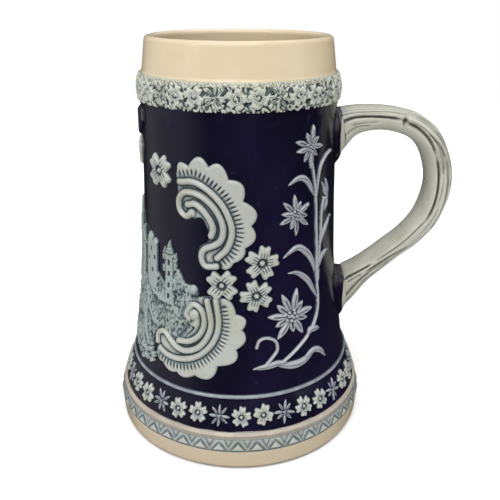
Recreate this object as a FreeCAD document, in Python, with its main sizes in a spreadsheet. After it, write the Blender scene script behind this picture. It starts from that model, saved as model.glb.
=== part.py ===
"""Lidless stoneware beer stein, about 0.75 litre, with applied relief and a branch shaped handle.

Frame: millimetres, +Z up, origin at the centre of the foot on the stein's own axis.
The handle stands out along +X and the front panel with the castle faces -X.

Angles round the stein are in degrees: angle 0 is -Y and angle 90 is +X, so the handle is at 90 and
the front panel's centre is at -90. The relief is drawn on the -Y side, and mirrored to the +Y side.
"""
import FreeCAD, Part
import math
import os
import Sketcher
from FreeCAD import Placement, Rotation, Vector

doc = FreeCAD.newDocument("beer_stein")

# ---------------------------------------------------------------- driving dimensions

SIZES = {
    # Outer profile, from the foot up: radius and height of each corner, and the signed radius of the
    # arc that leaves it, which is positive where it bulges outward and left out where the run is straight.
    "foot_edge_radius": 56.3, "foot_edge_curve": 2.2,
    "foot_side_radius": 58.3, "foot_side_height": 2.2,
    "foot_top_radius": 58.8, "foot_top_height": 9.0,
    "foot_rim_radius": 57.3, "foot_rim_height": 15.6,
    "skirt_top_radius": 56.3, "skirt_top_height": 17.8, "skirt_top_curve": 80.0,
    "skirt_bottom_radius": 51.4, "skirt_bottom_height": 31.0,
    "field_bottom_radius": 50.8, "field_bottom_height": 33.2, "field_bottom_curve": -38.0,
    "field_cove_radius": 48.6, "field_cove_height": 44.0, "field_cove_curve": -470.0,
    "field_waist_radius": 43.9, "field_waist_height": 80.0, "field_waist_curve": -1250.0,
    "field_top_radius": 41.6, "field_top_height": 147.0,
    "collar_bottom_radius": 42.2, "collar_bottom_height": 149.8, "collar_bottom_curve": 23.0,
    "collar_top_radius": 41.5, "collar_top_height": 160.3,
    "neck_bottom_radius": 40.6, "neck_bottom_height": 161.4,
    "rim_outer_radius": 39.0, "rim_height": 173.5, "rim_outer_curve": 1.87,
    # Inner profile, from the rim down to the floor.
    "rim_inner_radius": 35.3,
    "throat_radius": 36.6, "throat_height": 147.0, "throat_curve": 1200.0,
    "inner_waist_radius": 38.8, "inner_waist_height": 80.0, "inner_waist_curve": 465.0,
    "inner_cove_radius": 43.3, "inner_cove_height": 45.0, "inner_cove_curve": 120.0,
    "inner_skirt_radius": 51.4, "inner_skirt_height": 20.0, "inner_skirt_curve": -12.0,
    "floor_edge_radius": 41.5, "floor_height": 8.0,
    # Relief that stands proud of the wall.
    "field_relief_depth": 1.7,
    "castle_relief_depth": 2.8,
    "band_relief_depth": 0.9,
    "bead_curve": 1.35,
    "skirt_flower_height": 24.4, "skirt_flower_size": 4.3, "skirt_flower_groups": 12,
    "collar_flower_height": 155.2, "collar_flower_size": 3.5, "collar_flower_groups": 11,
    "foot_triangle_spacing": 8.0, "foot_triangle_bottom": 9.8, "foot_triangle_top": 14.6,
    # Handle: half sizes of its oval section along the grip, and where it grows into its two roots.
    "grip_half_width": 8.6, "grip_half_thickness": 5.1,
    "root_half_width": 10.0, "root_half_height": 8.7,
    "upper_root_height": 136.4, "upper_root_distance": 44.5,
    "lower_root_height": 61.0, "lower_root_distance": 49.5,
}

FOOT = ("foot_edge", "foot_side", "foot_top", "foot_rim")
SKIRT = ("skirt_top", "skirt_bottom")
FIELD = ("field_bottom", "field_cove", "field_waist", "field_top")
COLLAR = ("collar_bottom", "collar_top")
OUTER = FOOT + SKIRT + FIELD + COLLAR + ("neck_bottom", "rim_outer")
INNER = ("rim_inner", "throat", "inner_waist", "inner_cove", "inner_skirt", "floor_edge")
SHARED_HEIGHTS = {"rim_outer": "rim_height", "rim_inner": "rim_height", "floor_edge": "floor_height"}

INSIDE_WALL = 15.0        # distance from the axis where the prisms that cut out the sprigs start
PAST_WALL = 80.0          # distance from the axis where they end
PANEL = -90.0             # angle of the front panel's middle
# How a root spreads on its way into the wall: at each step, how far in and how far down its middle
# lies from the handle's end, and how much its half height and its half width have grown.
FLARE = ((0.0, 0.0, 0.0, 0.0), (1.3, 0.8, 1.1, 0.4), (2.4, 1.8, 2.6, 0.9), (4.5, 2.8, 4.4, 1.8))


def make_sheet():
    made = doc.addObject("Spreadsheet::Sheet", "Sizes")
    for row, (alias, number) in enumerate(SIZES.items(), start=1):
        made.set("A%d" % row, alias)
        made.set("B%d" % row, str(number))
        made.setAlias("B%d" % row, alias)
    doc.recompute()
    return made


sheet = make_sheet()


def size(alias):
    """The sheet's number under this alias."""
    return float(sheet.get(alias))


# ---------------------------------------------------------------- the turned profile

def height_alias(corner):
    if corner == "foot_edge":
        return None
    return SHARED_HEIGHTS.get(corner, corner + "_height")


def terms(corner, shift=None):
    """The aliases that add up to a corner's radius, and those that add up to its height."""
    radius = [corner + "_radius"] + ([shift] if shift else [])
    height = [height_alias(corner)] if height_alias(corner) else []
    return radius, height


def place(point):
    """Radius and height of a point given by its aliases."""
    return sum(size(alias) for alias in point[0]), sum(size(alias) for alias in point[1])


def curve_of(corner, way=1):
    """The alias of the arc that leaves a corner and the way it is drawn, or None for a straight run."""
    alias = corner + "_curve"
    return (alias, way) if alias in SIZES else None


def bend(curve):
    """Signed radius of an arc; 0 for a straight run."""
    return size(curve[0]) * curve[1] if curve else 0.0


def arc_centre(start, end, signed_radius):
    """Centre of the arc from start to end, to the left of the way there when the radius is positive."""
    along = end[0] - start[0]
    up = end[1] - start[1]
    chord = math.hypot(along, up)
    offset = math.copysign(math.sqrt(signed_radius ** 2 - chord ** 2 / 4), signed_radius)
    return (start[0] + end[0]) / 2 - up / chord * offset, (start[1] + end[1]) / 2 + along / chord * offset


def outer_radius(height):
    """Radius of the outer wall at a height."""
    for corner, following in zip(OUTER, OUTER[1:]):
        start = place(terms(corner))
        end = place(terms(following))
        if start[1] <= height <= end[1]:
            curve = bend(curve_of(corner))
            if not curve:
                return start[0] + (end[0] - start[0]) * (height - start[1]) / (end[1] - start[1])
            centre = arc_centre(start, end, curve)
            return centre[0] + math.copysign(math.sqrt(curve ** 2 - (height - centre[1]) ** 2), curve)
    raise ValueError("no outer wall at height %g" % height)


def origin_plane(body, role):
    return next(feature for feature in body.Origin.OriginFeatures if feature.Role == role)


def new_sketch(body, name, role):
    sketch = body.newObject("Sketcher::SketchObject", name)
    sketch.AttachmentSupport = [(origin_plane(body, role), "")]
    sketch.MapMode = "FlatFace"
    return sketch


def draw_loop(sketch, points, curves):
    """A closed loop of straight runs and arcs, each corner tied to the sheet."""
    ends = []
    for index, curve in enumerate(map(bend, curves)):
        start = place(points[index])
        end = place(points[(index + 1) % len(points)])
        if curve:
            centre = arc_centre(start, end, curve)
            from_angle = math.atan2(start[1] - centre[1], start[0] - centre[0])
            to_angle = math.atan2(end[1] - centre[1], end[0] - centre[0])
            if curve < 0:
                from_angle, to_angle = to_angle, from_angle
            circle = Part.Circle(Vector(centre[0], centre[1], 0), Vector(0, 0, 1), abs(curve))
            edge = sketch.addGeometry(Part.ArcOfCircle(circle, from_angle, to_angle), False)
            ends.append((edge, 1, 2) if curve > 0 else (edge, 2, 1))
        else:
            line = Part.LineSegment(Vector(start[0], start[1], 0), Vector(end[0], end[1], 0))
            ends.append((sketch.addGeometry(line, False), 1, 2))
    for index, (edge, start, _) in enumerate(ends):
        before = ends[index - 1]
        sketch.addConstraint(Sketcher.Constraint("Coincident", before[0], before[2], edge, start))
        for kind, aliases, axis in (("DistanceX", points[index][0], -2), ("DistanceY", points[index][1], -1)):
            if not aliases:
                sketch.addConstraint(Sketcher.Constraint("PointOnObject", edge, start, axis))
                continue
            value = sum(size(alias) for alias in aliases)
            number = sketch.addConstraint(Sketcher.Constraint(kind, -1, 1, edge, start, value))
            sum_of_cells = " + ".join("Sizes." + alias for alias in aliases)
            sketch.setExpression("Constraints[%d]" % number, sum_of_cells)
    for curve, (edge, _, _) in zip(curves, ends):
        if curve:
            number = sketch.addConstraint(Sketcher.Constraint("Radius", edge, abs(bend(curve))))
            sketch.setExpression("Constraints[%d]" % number, "abs(Sizes.%s)" % curve[0])


def turned_body(label, points, curves, seam=0.0):
    """A PartDesign body revolved round the stein's axis, with its seam at an angle from the handle."""
    body = doc.addObject("PartDesign::Body", label)
    body.Label = label
    body.Placement = Placement(Vector(0, 0, 0), Rotation(Vector(0, 0, 1), seam))
    sketch = new_sketch(body, label + "_profile", "XZ_Plane")
    draw_loop(sketch, points, curves)
    turn = body.newObject("PartDesign::Revolution", label + "_turn")
    turn.Profile = (sketch, [""])
    turn.ReferenceAxis = (sketch, ["V_Axis"])
    turn.Angle = 360.0
    sketch.Visibility = False
    return body


def make_cup():
    """The hollow wall, from the middle of the foot round the rim to the middle of the floor."""
    corners = OUTER + INNER
    points = [([], [])] + [terms(corner) for corner in corners] + [([], ["floor_height"])]
    curves = [None] + [curve_of(corner) for corner in corners] + [None]
    return turned_body("body", points, curves)


def make_envelope():
    """The stein's outer form as one solid lump, which what is luted on is cut to fit."""
    points = [([], [])] + [terms(corner) for corner in OUTER] + [([], ["rim_height"])]
    curves = [None] + [curve_of(corner) for corner in OUTER[:-1]] + [None, None]
    return turned_body("envelope", points, curves)


def make_relief_shell(label, corners, depth, seam=0.0):
    """A thin shell on a stretch of the outer wall, whose seam runs between two sprigs."""
    upward = [terms(corner) for corner in corners]
    downward = [terms(corner, depth) for corner in reversed(corners)]
    curves = [curve_of(corner) for corner in corners[:-1]] + [None]
    curves += [curve_of(corner, way=-1) for corner in reversed(corners[:-1])] + [None]
    return turned_body(label, upward + downward, curves, seam)


# ---------------------------------------------------------------- sprigs

def flat(angle, height, centre):
    """A point of the wall as seen square on from the centre angle: across, and up."""
    return outer_radius(height) * math.sin(math.radians(angle - centre)), height


def prism(outline, centre):
    """The prism that stands on a closed flat outline and runs outward through the wall at an angle."""
    radial = Vector(math.sin(math.radians(centre)), -math.cos(math.radians(centre)), 0)
    face = Part.Face(outline)
    face.Placement = Placement(radial * INSIDE_WALL, Rotation(Vector(0, 0, 1), centre))
    return face.extrude(radial * (PAST_WALL - INSIDE_WALL))


def wall_point(across, up):
    """A flat point in the upright plane that prism() turns to its angle."""
    return Vector(across, 0, up)


def smooth_loop(points):
    curve = Part.BSplineCurve()
    curve.interpolate([wall_point(*point) for point in points], PeriodicFlag=True)
    return Part.Wire([curve.toShape()])


def polygon_loop(points):
    corners = [wall_point(*point) for point in points]
    return Part.makePolygon(corners + corners[:1])


def blossom(height, radius, petals, turned=0.0):
    """A blossom with round petals, as one waved loop."""
    steps = petals * 6
    points = []
    for step in range(steps):
        angle = 2 * math.pi * step / steps
        reach = radius * (0.78 + 0.22 * math.cos(petals * angle))
        heading = angle + math.radians(turned)
        points.append((reach * math.sin(heading), height + reach * math.cos(heading)))
    return smooth_loop(points)


def star(height, radius, tips, turned=0.0):
    """An edelweiss: pointed petals round a middle."""
    points = []
    for step in range(tips * 2):
        heading = math.pi * step / tips + math.radians(turned)
        reach = radius if step % 2 == 0 else radius * 0.46
        points.append((reach * math.sin(heading), height + reach * math.cos(heading)))
    return polygon_loop(points)


def ribbon(path, centre, half_width, leaf=False):
    """A stem of even width along a path of (angle, height) points, or a leaf pointed at both ends."""
    spine = Part.BSplineCurve()
    spine.interpolate([wall_point(*flat(angle, height, centre)) for angle, height in path])
    first = spine.FirstParameter
    last = spine.LastParameter
    steps = 2 * len(path) + 2
    sides = ([], [])
    for step in range(steps + 1):
        share = step / steps
        spot = first + (last - first) * share
        point = spine.value(spot)
        direction = spine.tangent(spot)[0]
        across = Vector(-direction.z, 0, direction.x)
        reach = half_width * math.sin(math.pi * share) + 0.3 if leaf else half_width
        sides[0].append(point + across * reach)
        sides[1].append(point - across * reach)
    left = Part.BSplineCurve()
    left.interpolate(sides[0])
    right = Part.BSplineCurve()
    right.interpolate(sides[1][::-1])
    tip = Part.makeLine(sides[0][-1], sides[1][-1])
    root = Part.makeLine(sides[1][0], sides[0][0])
    return Part.Wire([left.toShape(), tip, right.toShape(), root])


def scalloped_loop(bumps_and_notches, inner_path, centre):
    """A scroll: shell scallops as arcs outside, then one smooth inner edge back to the start."""
    outside = [wall_point(*flat(angle, height, centre)) for angle, height in bumps_and_notches]
    edges = []
    for index in range(0, len(outside) - 2, 2):
        edges.append(Part.Arc(outside[index], outside[index + 1], outside[index + 2]).toShape())
    inside = [outside[-1]]
    inside += [wall_point(*flat(angle, height, centre)) for angle, height in inner_path]
    inside.append(outside[0])
    back = Part.BSplineCurve()
    back.interpolate(inside)
    edges.append(back.toShape())
    return Part.Wire(edges)


def skyline(points, centre):
    return polygon_loop([flat(angle, height, centre) for angle, height in points])


def make_sprig(label, shell, prisms, cut_away=None):
    """The part of a relief shell that the prisms cut out, kept clear of the sprig it runs under."""
    blank = doc.addObject("Part::Feature", label + "_blank")
    blank.Shape = prisms[0] if len(prisms) == 1 else Part.makeCompound(prisms)
    common = doc.addObject("Part::Common", label + "_relief" if cut_away else label)
    common.Base = blank
    common.Tool = shell
    if not cut_away:
        common.Label = label
        return common
    trimmed = doc.addObject("Part::Cut", label)
    trimmed.Label = label
    trimmed.Base = common
    trimmed.Tool = cut_away
    return trimmed


def mirror_sprig(source, label):
    """The same sprig on the +Y side."""
    mirrored = doc.addObject("Part::Mirroring", label)
    mirrored.Label = label
    mirrored.Source = source
    mirrored.Normal = (0, 1, 0)
    return mirrored


def round_the_band(outline, first_angle, spacing):
    """Prisms on one outline, evenly spaced all round."""
    count = round(360 / spacing)
    return [prism(outline, first_angle + spacing * index) for index in range(count)]


def make_band(name, shell, first_angle):
    """Edelweiss evenly spaced from a first one, with two blossoms between each pair."""
    height = size(name + "_flower_height")
    reach = size(name + "_flower_size")
    spacing = 360 / size(name + "_flower_groups")
    edelweiss = star(height, reach, 8)
    five_petals = blossom(height, reach, 5)
    blossoms = (round_the_band(five_petals, first_angle + spacing / 3, spacing)
                + round_the_band(five_petals, first_angle + 2 * spacing / 3, spacing))
    return [make_sprig(name + "_edelweiss", shell, round_the_band(edelweiss, first_angle, spacing)),
            make_sprig(name + "_blossoms", shell, blossoms)]


def make_triangles(shell):
    bottom = size("foot_triangle_bottom")
    top = size("foot_triangle_top")
    half_base = 0.42 * math.radians(size("foot_triangle_spacing")) * size("foot_top_radius")
    outline = polygon_loop([(-half_base, bottom), (half_base, bottom), (0, top)])
    return make_sprig("foot_triangles", shell, round_the_band(outline, -1.0, size("foot_triangle_spacing")))


def make_bead(label, below, above):
    """A thin half round ring on a straight run of the wall."""
    return turned_body(label, [terms(below), terms(above)], [None, ("bead_curve", -1)])


def make_upper_scroll(shell):
    scallops = [(-37, 125.5), (-34, 130), (-28.5, 129), (-23, 133), (-18, 130), (-12, 131), (-7.5, 126),
                (0, 124.5), (2.5, 117), (9, 112.5), (6.5, 106.5), (8.5, 101), (2.5, 96.5), (1, 91), (-11, 88)]
    inner = [(-17, 87), (-22.5, 89), (-23.5, 94), (-18, 99.5), (-17, 104), (-22, 108.5), (-30, 107.5),
             (-36, 111), (-37, 118)]
    return make_sprig("scroll_upper_right", shell, [prism(scalloped_loop(scallops, inner, -14), -14)])


def make_lower_scroll(shell):
    scallops = [(-4, 75.5), (1, 70), (0.5, 61.5), (3, 57), (-1, 54), (-1.5, 48), (-9, 46), (-11, 40.5),
                (-18, 39), (-26, 37), (-33, 38.5), (-38, 38), (-42, 41), (-48, 41), (-50, 46)]
    inner = [(-49.5, 55), (-43, 58.5), (-37.5, 54.5), (-30, 57), (-24.5, 61), (-30, 65), (-28.5, 71),
             (-22, 73.5), (-15, 73)]
    return make_sprig("scroll_lower_right", shell, [prism(scalloped_loop(scallops, inner, -23), -23)])


def flower_prisms(flowers):
    """Blossoms given as (angle, height, radius, petals, turn)."""
    return [prism(blossom(height, radius, petals, turned), angle)
            for angle, height, radius, petals, turned in flowers]


def make_edelweiss(shell):
    flowers = [(42, 135, 9.0, 8, 10), (32, 108.5, 8.0, 8, 0), (28.5, 65, 10.5, 9, 5)]
    prisms = [prism(star(height, radius, tips, turned), angle)
              for angle, height, radius, tips, turned in flowers]
    return make_sprig("edelweiss_right", shell, prisms)


def make_vine(shell, flowers):
    """Stems and leaves, fused flat and then cut out in one go, less the flowers in front of them."""
    centre = 40
    stems = [
        [(22, 45.5), (30, 49.5), (38, 54), (44, 59), (47, 64), (48, 80), (48, 97), (47, 113), (42, 128)],
        [(46.8, 114), (50, 125), (56, 129.5), (61, 131)],
        [(48, 77), (50.5, 90), (52, 105)],
        [(8.5, 53.5), (12, 57), (18.5, 55), (18, 49), (13, 45)],
    ]
    leaves = [
        [(27, 121), (34, 123.5), (41, 120.5), (46.5, 114)],
        [(24, 91), (33, 94), (41, 90.5), (47.5, 80)],
        [(27, 84), (34, 83), (41, 78), (47.5, 69.5)],
        [(47.5, 81), (53, 86.5), (60, 88)],
        [(50, 91), (57, 98), (64, 103)],
        [(38, 53.5), (43, 56), (48, 54)],
        [(7, 44), (18, 45.5), (30, 43), (42, 46), (50, 41)],
    ]
    outlines = [ribbon(path, centre, 0.9) for path in stems]
    outlines += [ribbon(path, centre, 1.7, leaf=True) for path in leaves]
    prisms = [prism(outline, centre) for outline in outlines]
    fused = prisms[0].fuse(prisms[1:])
    return make_sprig("vine_right", shell, [fused], cut_away=flowers)


def symmetric(half, middle):
    """Both sides of an outline from one half, given from the middle as (degrees from the middle, height)."""
    right = [(middle + offset, height) for offset, height in half]
    left = [(middle - offset, height) for offset, height in reversed(half[1:-1])]
    return right + left


def make_castle(shell):
    """The front panel: a plain keep with a spire, on a hill, the same on both sides of its middle."""
    half = [(0, 107), (3.2, 99), (3.2, 96), (6, 96), (9, 103), (12, 96), (12, 91), (16, 90), (19, 98),
            (22, 91), (26, 88), (26, 37), (0, 36)]
    outline = skyline(symmetric(half, PANEL), PANEL)
    return make_sprig("castle_keep", shell, [prism(outline, PANEL)])


def make_castle_wing(shell):
    """Flank tower, gate tower, trees and hillside between the keep and the scrolls."""
    points = [(-63, 37), (-63, 95), (-61, 98.5), (-59, 96), (-57.5, 104), (-56, 96.5), (-54, 97), (-52, 94),
              (-51.5, 85), (-48.2, 84), (-48, 90), (-46.8, 93), (-45.4, 90.5), (-44.5, 92), (-40, 98),
              (-37.5, 92.5), (-35.3, 94), (-34, 90), (-34.5, 86), (-31, 80), (-26.5, 81), (-24, 79),
              (-24, 75), (-31, 74), (-33, 68), (-32, 63), (-27, 61), (-32, 58.5), (-38, 57), (-43, 61),
              (-51.5, 57.5), (-52.5, 46), (-54, 42), (-58, 38)]
    return make_sprig("castle_wing_right", shell, [prism(skyline(points, -45), -45)])


def make_swag(shell):
    """The plain draped border that hangs over the front panel."""
    half = [(0, 146.5), (20, 146.5), (22.5, 142), (19, 137.5), (12, 135), (8, 137), (0, 134)]
    return make_sprig("swag", shell, [prism(skyline(symmetric(half, PANEL), PANEL), PANEL)])


def make_shell(shell):
    """The small scallop shell under the swag."""
    half = [(0, 121), (4, 122), (8, 126), (10.5, 131), (6.5, 133), (3, 131.5), (0, 133)]
    return make_sprig("shell", shell, [prism(skyline(symmetric(half, PANEL), PANEL), PANEL)])


# ---------------------------------------------------------------- handle

def oval(station):
    """The handle's section at a station, a fourfold superellipse that starts alike on every station.

    A station is (distance from the axis, height, heading, half thickness, half width). The heading
    is the way the handle runs there, in degrees, 0 outward and 90 up.
    """
    distance, height, heading, half_thickness, half_width = station
    thick = Vector(-math.sin(math.radians(heading)), 0, math.cos(math.radians(heading)))
    wide = Vector(0, 1, 0)
    fullness = 2 / 2.5
    points = []
    for step in range(16):
        angle = 2 * math.pi * step / 16
        across = math.copysign(abs(math.cos(angle)) ** fullness, math.cos(angle)) * half_thickness
        along = math.copysign(abs(math.sin(angle)) ** fullness, math.sin(angle)) * half_width
        points.append(Vector(distance, 0, height) + thick * across + wide * along)
    curve = Part.BSplineCurve()
    curve.interpolate(points, PeriodicFlag=True)
    return Part.Wire([curve.toShape()])


def handle_stations():
    """From the upper root, out and over the bend, and down and back in to the lower root."""
    thin = size("grip_half_thickness")
    wide = size("grip_half_width")
    root_wide = size("root_half_width")
    return [
        (size("upper_root_distance"), size("upper_root_height"), 8, size("root_half_height"), root_wide),
        (49.5, 139.6, 10, thin + 1.2, wide + 0.5),
        (57.5, 140.8, 4, thin + 0.2, wide),
        (67.0, 140.3, -8, thin, wide),
        (76.5, 137.0, -31, thin + 0.2, wide),
        (84.1, 129.9, -54, thin + 0.5, wide),
        (88.4, 119.3, -79, thin + 0.7, wide),
        (89.0, 107.8, -97, thin + 0.6, wide),
        (85.4, 96.1, -119, thin + 0.2, wide),
        (77.9, 86.3, -135, thin - 0.3, wide),
        (69.5, 79.0, -140, thin - 0.5, wide),
        (61.6, 72.6, -139, thin - 0.3, wide),
        (55.1, 67.1, -146, thin + 0.7, wide + 0.5),
        (size("lower_root_distance"), size("lower_root_height"), -172, size("root_half_height"), root_wide),
    ]


def make_handle(stations):
    """The swelling strap of the handle, whose section turns from a lying to a standing oval at its roots."""
    handle = doc.addObject("Part::Feature", "handle")
    handle.Label = "handle"
    handle.Shape = Part.makeLoft([oval(station) for station in stations], True, False)
    return handle


def make_root(label, station):
    """The lug of clay that spreads from an end of the handle into the wall."""
    distance, height, heading, half_height, half_width = station
    sections = [oval((distance - inward, height - down, heading, half_height + taller, half_width + wider))
                for inward, down, taller, wider in FLARE]
    blank = doc.addObject("Part::Feature", label + "_blank")
    blank.Shape = Part.makeLoft(sections, True, True)
    root = doc.addObject("Part::Cut", label)
    root.Label = label
    root.Base = blank
    root.Tool = envelope
    return root


# ---------------------------------------------------------------- the assembly

envelope = make_envelope()
field_shell = make_relief_shell("field_shell", FIELD, "field_relief_depth")
castle_shell = make_relief_shell("castle_shell", FIELD, "castle_relief_depth")
skirt_shell = make_relief_shell("skirt_shell", SKIRT, "band_relief_depth", seam=5.5)
collar_shell = make_relief_shell("collar_shell", COLLAR, "band_relief_depth", seam=12.4)
foot_shell = make_relief_shell("foot_shell", ("foot_top", "foot_rim"), "band_relief_depth", seam=1.0)

stations = handle_stations()
right_edelweiss = make_edelweiss(field_shell)
right_side = {
    "scroll_upper": make_upper_scroll(field_shell),
    "scroll_lower": make_lower_scroll(field_shell),
    "blossoms": make_sprig("blossoms_right", field_shell, flower_prisms(
        [(-9.5, 80.8, 6.3, 5, 0), (12, 90.2, 6.9, 5, 10), (9, 76.2, 6.4, 5, 180)])),
    "upper_blossom": make_sprig("upper_blossom_right", field_shell, flower_prisms(
        [(-49, 124.5, 6.8, 4, 45)])),
    "edelweiss": right_edelweiss,
    "vine": make_vine(field_shell, right_edelweiss),
    "castle_wing": make_castle_wing(castle_shell),
}

pieces = [make_cup(), make_handle(stations)]
pieces.append(make_root("handle_root_upper", stations[0]))
pieces.append(make_root("handle_root_lower", stations[-1]))
pieces.append(make_bead("field_bead_ring", "skirt_bottom", "field_bottom"))
pieces.append(make_bead("skirt_bead_ring", "foot_rim", "skirt_top"))
pieces += make_band("skirt", skirt_shell, -9.5)
pieces += make_band("collar", collar_shell, -12.2)
pieces.append(make_triangles(foot_shell))
pieces += [make_castle(castle_shell), make_swag(field_shell), make_shell(field_shell)]
for name, right_sprig in right_side.items():
    pieces.append(right_sprig)
    pieces.append(mirror_sprig(right_sprig, name + "_left"))

doc.recompute()

for thing in doc.Objects:
    if "Invalid" in thing.State or "Error" in thing.State:
        raise RuntimeError("%s failed: %s" % (thing.Label, thing.State))
for piece in pieces:
    if piece.Shape.isNull() or not piece.Shape.isValid() or not piece.Shape.Solids:
        raise RuntimeError("%s has no valid solid" % piece.Label)

os.makedirs("parts", exist_ok=True)
for piece in pieces:
    piece.Shape.exportStep("parts/%s.step" % piece.Label)
    print("%-22s %3d solids %9.1f mm3" % (piece.Label, len(piece.Shape.Solids), piece.Shape.Volume))
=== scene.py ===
"""The looks of the beer stein: glazed wall, branch handle and pressed relief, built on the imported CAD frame.

Lengths in this script are millimetres until a mesh is made, and angles round the stein are degrees:
0 is -Y, 90 is +X where the handle is, and -90 is the middle of the front panel. Relief is drawn as a
height over the wall on a fine grid of angle and height, and the +Y side is the mirror of the -Y side.
"""

import math

import bpy
import numpy as np
from mathutils import Euler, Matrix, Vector


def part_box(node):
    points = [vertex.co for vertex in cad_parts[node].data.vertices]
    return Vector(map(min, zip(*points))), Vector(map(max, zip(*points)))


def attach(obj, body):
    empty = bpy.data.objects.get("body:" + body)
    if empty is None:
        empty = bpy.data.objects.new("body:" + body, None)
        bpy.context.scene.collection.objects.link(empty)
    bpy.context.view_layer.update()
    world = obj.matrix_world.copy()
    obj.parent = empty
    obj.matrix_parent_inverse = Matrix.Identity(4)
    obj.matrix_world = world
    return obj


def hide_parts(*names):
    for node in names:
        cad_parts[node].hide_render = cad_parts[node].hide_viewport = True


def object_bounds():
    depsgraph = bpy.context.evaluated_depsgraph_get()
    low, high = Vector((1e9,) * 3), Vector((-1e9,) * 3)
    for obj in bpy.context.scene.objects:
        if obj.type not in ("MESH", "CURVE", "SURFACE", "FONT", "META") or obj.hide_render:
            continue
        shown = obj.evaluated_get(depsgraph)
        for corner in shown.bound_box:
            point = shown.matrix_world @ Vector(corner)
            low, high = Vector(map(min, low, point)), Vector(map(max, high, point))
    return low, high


MM = 0.001
SUNK = -0.35              # how far the skirts of the relief dip under the wall's surface
UNDERSIDE = -0.8          # depth of the relief's hidden back face under the wall's surface
THINNEST = 0.12           # height that a groove leaves of the relief
PANEL = -90               # angle of the front panel's middle
COLLAR = (150.0, 160.6)   # heights between which the collar's flowers stand

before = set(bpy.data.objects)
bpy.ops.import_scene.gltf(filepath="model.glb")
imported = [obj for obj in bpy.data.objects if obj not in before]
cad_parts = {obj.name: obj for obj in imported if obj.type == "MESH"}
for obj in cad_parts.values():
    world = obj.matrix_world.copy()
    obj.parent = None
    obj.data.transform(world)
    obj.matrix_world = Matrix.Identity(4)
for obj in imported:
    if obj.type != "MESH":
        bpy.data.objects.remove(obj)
cad_low, cad_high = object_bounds()


# ------------ the wall, read from the frame

def vectors(mesh, kind):
    """The place ("co") or the normal of every point of a mesh."""
    values = np.zeros(len(mesh.vertices) * 3)
    mesh.vertices.foreach_get(kind, values)
    return values.reshape(-1, 3)


def cup_section():
    """The cup's half section as (radius, height): up the outside, over the rim and down to the floor."""
    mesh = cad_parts["body"].data
    points = vectors(mesh, "co") / MM
    normals = vectors(mesh, "normal")
    radius = np.hypot(points[:, 0], points[:, 1])
    outward = (points * normals)[:, :2].sum(axis=1) / np.maximum(radius, 1e-6)
    walls = []
    for facing in (1, -1):
        chosen = outward * facing > 0.25
        heights = np.round(points[chosen, 2], 2)
        rings = np.unique(heights)
        walls.append([(radius[chosen][heights == ring].mean(), ring) for ring in rings])
    return np.array([(0, 0)] + walls[0] + walls[1][::-1] + [(0, walls[1][0][1])])


def lengths_along(points):
    """Distance from the start of a line to each of its points."""
    return np.concatenate([[0], np.cumsum(np.linalg.norm(np.diff(points, axis=0), axis=1))])


def evenly(points, step):
    """Points evenly spaced along a line of points."""
    lengths = lengths_along(points)
    spots = np.linspace(0, lengths[-1], int(lengths[-1] / step) + 1)
    return np.stack([np.interp(spots, lengths, column) for column in points.T], axis=1)


def softened(points, width):
    """A line with its corners rounded over an odd number of points, as glaze rounds them."""
    kernel = np.ones(width) / width
    rounded = points.copy()
    for _ in range(2):
        padded = np.pad(rounded, ((width // 2, width // 2), (0, 0)), mode="edge")
        rounded = np.stack([np.convolve(column, kernel, mode="valid") for column in padded.T], axis=1)
    return rounded


def thinned(points, stride):
    """A line with few points on its straight runs and all of them on its bends."""
    runs = np.diff(points, axis=0)
    heading = np.unwrap(np.arctan2(runs[:, 1], runs[:, 0]))
    turn = np.abs(np.diff(heading, prepend=heading[0], append=heading[-1]))
    keep = (turn > math.radians(1.5)) | (np.arange(len(points)) % stride == 0)
    keep[[0, -1]] = True
    return points[keep]


SECTION = softened(evenly(cup_section(), 0.4), 3)
BRIM = int(np.argmax(SECTION[:, 1]))


def wall(height):
    """Radius of the outer wall at a height."""
    outer = SECTION[:BRIM]
    start = int(np.argmax(outer[:, 0] > 50))
    return np.interp(height, outer[start:, 1], outer[start:, 0])


def ripple(angle, height):
    """How far a hand-finished wall strays from a true turned one, a tenth of a millimetre or so."""
    turn = np.radians(angle)
    return (0.09 * np.sin(2 * turn + 0.02 * height + 1.3) + 0.05 * np.sin(5 * turn - 0.045 * height)
            + 0.03 * np.sin(9 * turn + 0.11 * height + 2.1) + 0.025 * np.sin(0.24 * height + 3 * turn))


def round_axis(radius, angle, height):
    """Points at a distance from the stein's axis, an angle round it and a height."""
    turn = np.radians(angle)
    return np.stack([radius * np.sin(turn), -radius * np.cos(turn), height], axis=-1)


def on_wall(angle, height, proud):
    """Points that stand proud of the outer wall."""
    return round_axis(wall(height) + ripple(angle, height) + proud, angle, height)


# ------------ pieces

def span(node):
    """The lowest and the highest point of a node, in millimetres."""
    return [corner.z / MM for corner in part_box(node)]


def put(name, data):
    """A new object in the scene."""
    thing = bpy.data.objects.new(name, data)
    bpy.context.scene.collection.objects.link(thing)
    return thing


def new_piece(name, points, faces, **attributes):
    """A mesh from points in millimetres, smooth but for its caps, with a value per point and attribute."""
    mesh = bpy.data.meshes.new(name)
    mesh.from_pydata((points.reshape(-1, 3) * MM).tolist(), [], faces)
    mesh.polygons.foreach_set("use_smooth", [len(face) == 4 for face in faces])
    for attribute, values in attributes.items():
        layer = mesh.attributes.new(attribute, "FLOAT", "POINT")
        layer.data.foreach_set("value", np.ascontiguousarray(values, dtype=np.float32).ravel())
    return put(name, mesh)


def settle(piece, node, material):
    """Puts a finished piece in the place of its CAD node."""
    piece.data.materials.append(material)
    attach(piece, "root")
    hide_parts(node)


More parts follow.
